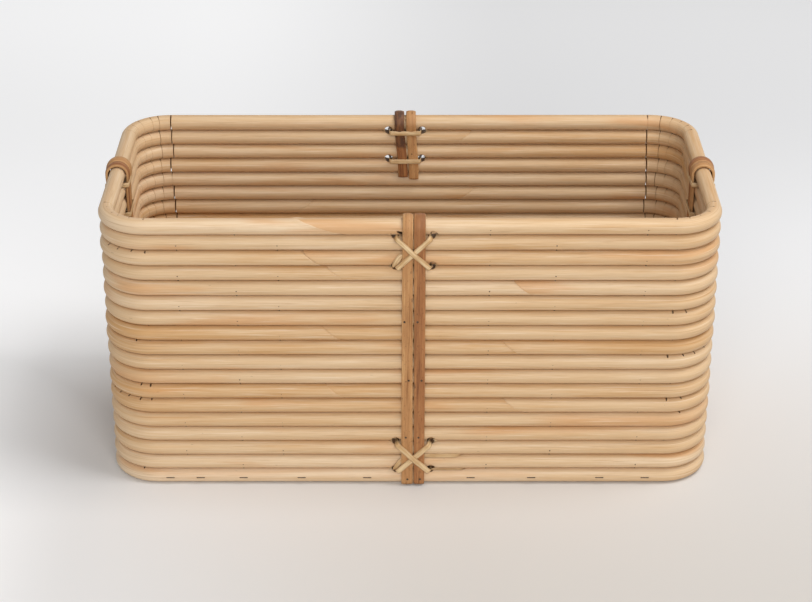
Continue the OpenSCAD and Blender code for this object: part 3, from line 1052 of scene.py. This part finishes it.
        # The cut sides show the pale core; the sides towards the pair's gap are paler still, a painted highlight.
        towards_gap = np.sign(shape[None, :, 0]) == -hand
        pale = form.edge * np.where(towards_gap, 1.0, 0.75)
        worn = 0.85 + 0.15 * value_noise(along / 0.012, seed + 60)[:, None]
        edge = np.clip(shape[None, :, 2] * pale * worn, 0, 1).ravel()
        dark_end = 42 * MM
        fade = 1 - smooth((along - sizes.rim_z - dark_end) / (4 * MM))
        bark = form.bark * smooth((along - sizes.rim_z + 12 * MM) / (14 * MM)) * fade
        # The bark is the strap's own dark colour; the darkening in the clefts is painted shade.
        shade = (np.maximum(bark[:, None], spot[None, :] * (cleft[:, None] > 0.2 * MM) * 0.8) + 0 * across).ravel()
        attributes = {
            "grain": np.vstack([grain, grain[:1], grain[-1:]]),
            "edge": np.concatenate([edge, [0.8, 0.8]]),
            "shade": np.concatenate([shade, [0, 0]]),
        }
        node = f"{wall.label}_strap_{side.value}"
        add_mesh(f"{node}_strip", points, faces, finish, node, attributes)

    def build(self, finishes: dict[Side, bpy.types.Material]) -> None:
        """Makes the eight straps."""
        for wall, side, form in self.shapes:
            self.strap(wall, side, form, finishes[side])


# ---------------------------------------------------------------- lashings


@dataclass
class LashingSet:
    """The peel that ties each strap pair to the wall: a cross outside and two bars inside.

    The front lashings also have a loop of the peel's start and, below, its end laid in a groove.
    """

    sizes: BasketSizes
    hole_w: float = 4.5 * MM
    tier_w: tuple[float, float] = (5.1 * MM, 5.8 * MM)
    rise: tuple[tuple[float, float], ...] = ((0, 0), (0, 0.42), (0.05, 0.70), (0.20, 0.93), (0.46, 1))
    cross: tuple[tuple[float, float], ...] = ((1, 0), (0.72, 0), (0.52, 0.2), (0.26, 1), (0, 1))
    # The loop: to the right, outwards and up from the lashing's middle, in millimetres
    loop: tuple[tuple[float, float, float], ...] = (
        (-17.0, 0.5, -16.4), (-17.6, 5.6, -15.4), (-17.4, 8.6, -12.4), (-16.2, 9.3, -9.2),
        (-14.3, 8.9, -6.4), (-12.2, 7.6, -4.3), (-9.5, 7.2, -3.2),
    )
    # Peel ends that lie in a groove: start, end and height from the lashing's middle, in millimetres
    tails: tuple[tuple[float, float, float], ...] = ((8.0, 47.0, 0.6), (18.0, 52.0, -15.6))

    def span(self, height: float, lift: float) -> np.ndarray:
        """A crossing from hole to hole as rows of (distance from the middle, height over the poles)."""
        sizes = self.sizes
        half = [(sizes.lash_reach - a * sizes.lash_margin, b * height) for a, b in self.rise]
        half += [(sizes.strap_half * a, height + lift * b) for a, b in self.cross]
        left = np.array([(-a, b) for a, b in half])
        right = np.array(half[-2::-1])
        return np.vstack([left, right])

    def in_groove(self, width: float) -> float:
        """How far out a flat band of a given width lies in a groove."""
        sizes = self.sizes
        dip = sizes.pitch / 2 - width / 2
        return math.sqrt(sizes.pole_r ** 2 - dip ** 2) + sizes.lash_fit + sizes.lash_t / 2

    def controls(self, tier: Tier) -> np.ndarray:
        """The closed path's control points and width directions, six numbers a row."""
        sizes = self.sizes
        over = sizes.strap_in + sizes.strap_t + sizes.lash_fit + sizes.lash_t / 2
        groove = self.in_groove(sizes.lash_w)
        slope = sizes.pitch / sizes.lash_reach
        bar = over if tier is Tier.UPPER else groove
        legs = (
            (self.span(over, sizes.lash_t + sizes.lash_fit), 1, -slope, 1, 0.0, (slope, 0, 1)),
            (self.span(bar, 0), -1, 0.0, -1, -sizes.pitch, (0, 0, 1)),
            (self.span(over, 0), 1, slope, 1, 0.0, (-slope, 0, 1)),
            (self.span(bar, 0), -1, 0.0, -1, sizes.pitch, (0, 0, 1)),
        )
        rows = []
        for points, across, climb, face, level, width in legs:
            direction = np.array(width, float) / np.linalg.norm(width)
            points = points[:-1]
            place = np.stack([across * points[:, 0], face * points[:, 1], level + climb * points[:, 0]], axis=1)
            ways = np.repeat(direction[None, :], len(points), axis=0)
            in_hole = points[:, 1] < 0.1 * MM
            ways[in_hole] = 0.5 * direction + np.array([0, 0, 0.5])
            rows.append(np.hstack([place, ways]))
        return np.vstack(rows)

    def band(self, name: str, path: np.ndarray, wall: Wall, level: float, finish: bpy.types.Material,
             node: str | None, closed: bool, width: np.ndarray) -> None:
        """Sweeps a crowned flat section along a path of points and width directions.

        Args:
            name: The piece's name.
            path: Six numbers a row: a point in the wall's frame and the direction of the width.
            wall: The wall it is on.
            level: Height of the path's own zero.
            finish: Its material.
            node: The CAD node that it replaces, if any.
            closed: Whether the path is a loop.
            width: The band's width at each point.
        """
        sizes = self.sizes
        point, way = path[:, :3], path[:, 3:]
        if closed:
            tangent = np.roll(point, -1, axis=0) - np.roll(point, 1, axis=0)
        else:
            tangent = np.gradient(point, axis=0)
        tangent /= np.linalg.norm(tangent, axis=1)[:, None]
        way = way - (way * tangent).sum(axis=1)[:, None] * tangent
        way /= np.linalg.norm(way, axis=1)[:, None]
        up = np.cross(way, tangent)
        x = np.array([-1, -0.95, -0.55, 0, 0.55, 0.95, 1, 0.9, 0, -0.9])
        t = np.array([0.15, 0.8, 0.97, 1, 0.97, 0.8, 0.15, 0, 0.05, 0]) - 0.5
        offset = way[:, None, :] * (x[None, :] * width[:, None] / 2)[..., None]
        offset = offset + up[:, None, :] * (t * sizes.lash_t)[None, :, None]
        points = point[:, None, :] + offset
        points[..., 0] += sizes.strap_mid[wall.value]
        points[..., 2] += level
        flat = wall_to_basket(points, wall, sizes).reshape(-1, 3)
        rows, columns = len(point), len(x)
        faces = tube_faces(rows, columns, closed)
        along = np.concatenate([[0], np.cumsum(np.linalg.norm(np.diff(point, axis=0), axis=1))])
        grain = np.stack([along[:, None] + 0 * points[..., 0] + 0.37 * wall.value + 3 * level,
                          x[None, :] * width[:, None] / 2, t[None, :] * sizes.lash_t + 0 * points[..., 0]],
                         axis=-1).reshape(-1, 3)
        hidden = smooth((sizes.pole_r * 0.8 - np.abs(point[:, 1])) / (3 * MM))
        edge = 0.3 * (np.abs(x) > 0.92)
        shade = np.maximum(0.7 * hidden[:, None], edge[None, :]).ravel()
        if not closed:
            flat, faces = capped(flat, faces, rows, columns)
            grain = np.vstack([grain, grain[:1], grain[-1:]])
            shade = np.concatenate([shade, [0.2, 0.2]])
        add_mesh(name, flat, faces, finish, node, {"grain": grain, "shade": shade})

    def loose_end(self, name: str, controls: np.ndarray, wall: Wall, level: float, width: float,
                  finish: bpy.types.Material) -> None:
        """A peel end that lies flat against the wall and narrows at both its ends.

        Args:
            name: The piece's name.
            controls: Points in the wall's frame.
            wall: The wall it is on.
            level: Height of the controls' own zero.
            width: Its width.
            finish: Its material.
        """
        line = spline(controls, 6, closed=False)
        tangent = np.gradient(line, axis=0)
        way = np.stack([-tangent[:, 2], 0 * tangent[:, 0], tangent[:, 0]], axis=1)
        share = np.linspace(0, 1, len(line))
        narrow = 0.55 + 0.45 * smooth(np.minimum(share, 1 - share) / 0.12)
        self.band(name, np.hstack([line, way]), wall, level, finish, None, False, width * narrow)

    def splinters(self, wall: Wall, finish: bpy.types.Material) -> None:
        """The frayed slivers of wood that stand round the drilled holes, each a thin bent cone.

        Args:
            wall: The wall.
            finish: Their material.
        """
        sizes = self.sizes
        rng = np.random.default_rng(SEED + 60 + wall.value)
        sides, rows = 5, 5
        turn = np.arange(sides) / sides * TAU
        share = np.linspace(0, 1, rows)
        verts, faces, grains, shades = [], [], [], []
        count = 0
        spots = [
            (tier, row, side, face) for tier in Tier for row in (-1, 1) for side in (-1, 1) for face in (1, -1)
        ]
        for tier, row, side, face in spots:
            level = sizes.groove_z(sizes.tie_ring(tier) + row)
            for _ in range(rng.integers(3, 6)):
                where = rng.uniform(-1.1, 1.1)
                dx, dz = 4.0 * MM * math.cos(where) * side, 3.2 * MM * math.sin(where) + 1.2 * MM
                dip = sizes.pitch / 2 - min(abs(dz), 7 * MM)
                surface = math.sqrt(max(sizes.pole_r ** 2 - dip ** 2, 0)) - 0.6 * MM
                base = np.array([side * (sizes.lash_reach + 1.0 * MM) + dx, face * surface, dz])
                length = rng.uniform(2.2, 5.2) * MM
                push = np.array([side * rng.uniform(0.4, 1.0), face * rng.uniform(0.25, 0.7), rng.uniform(-0.7, 0.5)])
                push /= np.linalg.norm(push)
                curl = np.array([side * rng.uniform(-0.5, 0.3), 0, rng.uniform(-0.9, 0.2)]) * 0.4
                line = base + length * (share[:, None] * push + share[:, None] ** 2 * curl)
                a = np.cross(push, (0, 0, 1.0))
                a /= np.linalg.norm(a)
                b = np.cross(push, a)
                thick = rng.uniform(0.32, 0.55) * MM * (1 - share ** 1.6) + 0.04 * MM
                ring = np.cos(turn)[None, :, None] * a + 0.55 * np.sin(turn)[None, :, None] * b
                points = line[:, None, :] + thick[:, None, None] * ring
                points[..., 0] += sizes.strap_mid[wall.value]
                points[..., 2] += level
                points = wall_to_basket(points, wall, sizes).reshape(-1, 3)
                points, quads = capped(points, tube_faces(rows, sides, closed=False), rows, sides)
                verts.append(points)
                faces += [[count + k for k in quad] for quad in quads]
                grains.append(points + rng.uniform(0, 1))
                shades.append(np.full(len(points), rng.uniform(0, 0.25)))
                count += len(points)
        piece = add_mesh(f"{wall.label}_hole_splinters", np.vstack(verts), faces, finish, None,
                         {"grain": np.vstack(grains), "shade": np.concatenate(shades)})
        outward_faces(piece)

    def build(self, finish: bpy.types.Material) -> None:
        """Makes the eight lashings, the front lashings' loose ends and the splinters."""
        sizes = self.sizes
        for wall in Wall:
            for tier, wide in zip(Tier, self.tier_w):
                node = f"{wall.label}_lashing_{tier.value}"
                path = spline(self.controls(tier), 5, closed=True)
                open_air = smooth((np.abs(path[:, 1]) - 5 * MM) / (4 * MM))
                width = self.hole_w + (wide - self.hole_w) * open_air
                self.band(f"{node}_peel", path, wall, sizes.groove_z(sizes.tie_ring(tier)), finish, node, True, width)
            self.splinters(wall, finish)
        for tier, wide in zip(Tier, (5.8 * MM, 5.0 * MM)):
            level = sizes.groove_z(sizes.tie_ring(tier))
            self.loose_end(f"front_loop_{tier.value}", np.array(self.loop) * MM, Wall.FRONT, level, wide, finish)
        level = sizes.groove_z(sizes.tie_ring(Tier.LOWER))
        for name, (start, end, up), wide in zip(("middle", "low"), self.tails, (4.6 * MM, 2.8 * MM)):
            out = self.in_groove(wide) - 0.15 * MM
            x = np.linspace(start, end, 7) * MM
            controls = np.stack([x, np.full(7, out), np.full(7, up * MM)], axis=1)
            controls[-1, 1] -= 1.6 * MM
            self.loose_end(f"front_peel_end_{name}", controls, Wall.FRONT, level, wide, finish)


# ---------------------------------------------------------------- studio


@dataclass(frozen=True)
class Studio:
    """A pale floor that runs past the horizon, soft lamps, and the camera."""

    camera_at: tuple[float, float, float] = (-4.1 * MM, -1922.2 * MM, 1108.0 * MM)
    pitch_deg: float = 26.84
    lens_mm: float = 93.0
    floor_half: float = 8.0
    # near is painted shade on the floor's front, left painted light to its left, far the tone behind.
    near: Colour = srgb(205, 200, 194)
    far: Colour = srgb(244, 244, 245)
    left: Colour = srgb(239, 239, 240)

    def floor(self) -> None:
        """One flat square, darker and warmer near the front and paler to the left: painted shade and painted light.

        The lamps fade behind the basket, so there and to its left the camera and reflections see
        the floor a little brighter than they light it: a painted light that glows from the floor and
        lifts the basket's cast shadow on its left.
        the floor a little brighter than they light it.
        """
        half = self.floor_half
        points = [(-half, -half, 0.0), (half, -half, 0.0), (half, half, 0.0), (-half, half, 0.0)]
        mesh = bpy.data.meshes.new("floor")
        mesh.from_pydata(points, [], [(0, 1, 2, 3)])
        floor = bpy.data.objects.new("floor", mesh)
        bpy.context.scene.collection.objects.link(floor)
        sh = Shader("studio_floor")
        split = sh.node("ShaderNodeSeparateXYZ")
        sh.feed(split.inputs[0], sh.object_coords())
        x, y = split.outputs[0], split.outputs[1]
        # Painted shade darkens the floor towards the front; painted light pales it to the left.
        colour = sh.mix(sh.remap(y, -0.45, 0.5), self.near, self.far)
        colour = sh.mix(sh.remap(x, 0.1, -0.42, 0.0, 0.7), colour, self.left)
        # Painted light: camera and reflection rays see the floor glow behind the basket and to its left, lifting its
        # cast shadow there.
        painted_light_beside = sh.remap(x, -0.31, -0.45, 0.0, 0.8)
        painted_floor_light = sh.math("MAXIMUM", sh.remap(y, 0.0, 0.17), painted_light_beside)
        painted_floor_light = sh.math("MULTIPLY", painted_floor_light, sh.remap(x, 0.2, -0.35, 0.0, 0.22))
        painted_floor_light = sh.math("ADD", painted_floor_light, sh.remap(y, 0.7, 1.4, 0.0, 0.12))
        rays = sh.node("ShaderNodeLightPath")
        seen = sh.math("MAXIMUM", rays.outputs["Is Glossy Ray"], rays.outputs["Is Transmission Ray"])
        seen = sh.math("MAXIMUM", rays.outputs["Is Camera Ray"], seen)
        sh.feed(sh.bsdf.inputs["Emission Color"], (1.0, 1.0, 1.0))
        sh.feed(sh.bsdf.inputs["Emission Strength"], sh.math("MULTIPLY", painted_floor_light, seen))
        mesh.materials.append(sh.finish(colour, 0.9, specular=0.1))

    def lamp(self, name: str, at: tuple[float, float, float], aim: tuple[float, float, float],
             size: float, power: float) -> None:
        """A square area lamp.

        Args:
            name: Its name.
            at: Where it is.
            aim: The point it faces.
            size: Its side.
            power: Its power in watts.
        """
        light = bpy.data.lights.new(name, "AREA")
        light.shape, light.size, light.energy = "SQUARE", size, power
        lamp = bpy.data.objects.new(name, light)
        lamp.location = at
        away = np.array(at) - np.array(aim)
        yaw = math.atan2(away[0], -away[1])
        tilt = math.atan2(math.hypot(away[0], away[1]), away[2])
        lamp.rotation_euler = (tilt, 0, yaw)
        bpy.context.scene.collection.objects.link(lamp)

    def sky(self) -> None:
        """An even dim world, which the camera and reflections see as a pale backdrop."""
        world = bpy.data.worlds.new("studio")
        world.use_nodes = True
        tree = world.node_tree
        background = tree.nodes["Background"]
        background.inputs["Color"].default_value = (1, 1, 1, 1)
        rays = tree.nodes.new("ShaderNodeLightPath")
        seen = tree.nodes.new("ShaderNodeMath")
        seen.operation = "MAXIMUM"
        tree.links.new(rays.outputs["Is Camera Ray"], seen.inputs[0])
        mirrored = tree.nodes.new("ShaderNodeMath")
        mirrored.operation = "MAXIMUM"
        tree.links.new(rays.outputs["Is Glossy Ray"], mirrored.inputs[0])
        tree.links.new(rays.outputs["Is Transmission Ray"], mirrored.inputs[1])
        tree.links.new(mirrored.outputs[0], seen.inputs[1])
        strength = tree.nodes.new("ShaderNodeMapRange")
        strength.inputs["To Min"].default_value = 0.34
        strength.inputs["To Max"].default_value = 0.8
        tree.links.new(seen.outputs[0], strength.inputs["Value"])
        tree.links.new(strength.outputs["Result"], background.inputs["Strength"])
        bpy.context.scene.world = world

    def build(self) -> None:
        """Makes the floor, the lamps, the world and the camera."""
        self.floor()
        self.lamp("key", (1.1, -0.3, 2.3), (0, 0, 0.1), 1.2, 35)
        self.lamp("front", (0.15, -2.4, 1.3), (0, 0, 0.15), 1.6, 34)
        self.sky()
        data = bpy.data.cameras.new("camera")
        data.lens, data.sensor_width = self.lens_mm, 36.0
        data.clip_start, data.clip_end = 0.05, 30.0
        camera = bpy.data.objects.new("camera", data)
        camera.location = self.camera_at
        camera.rotation_euler = (math.radians(90 - self.pitch_deg), 0, 0)
        bpy.context.scene.collection.objects.link(camera)
        bpy.context.scene.camera = camera
        bpy.context.scene.view_settings.view_transform = "Standard"


# ---------------------------------------------------------------- the basket


def dress(node: str, finish: bpy.types.Material) -> None:
    """Gives a CAD node that stays in view its finish."""
    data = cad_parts[node].data
    data.materials.clear()
    data.materials.append(finish)
    log.info("%s: finished with %s", node, finish.name)


def main() -> None:
    """Builds the basket and its studio, in order."""
    sizes = BasketSizes.from_frame()
    path = PolePath(sizes)
    poles = [RattanFinish(f"rattan_pole_{letter}").build() for letter in "abcd"]
    straps = {
        Side.LEFT: BarkFinish("bark_strap_left", srgb(205, 160, 108), srgb(184, 134, 86), srgb(142, 96, 55)).build(),
        Side.RIGHT: BarkFinish("bark_strap_right", srgb(182, 128, 80), srgb(157, 104, 62), srgb(116, 70, 40)).build(),
    }
    PoleStack(sizes, path).build(poles)
    StrapSet(sizes).build(straps)
    LashingSet(sizes).build(PeelFinish("rattan_peel").build())
    dress("base_board", PlyFinish("base_veneer").build())
    wire = WireFinish("dark_wire").build()
    for node in ("strap_brads", "ring_brads", "base_staples"):
        dress(node, wire)
    Studio().build()


if __name__ == "__main__":
    main()
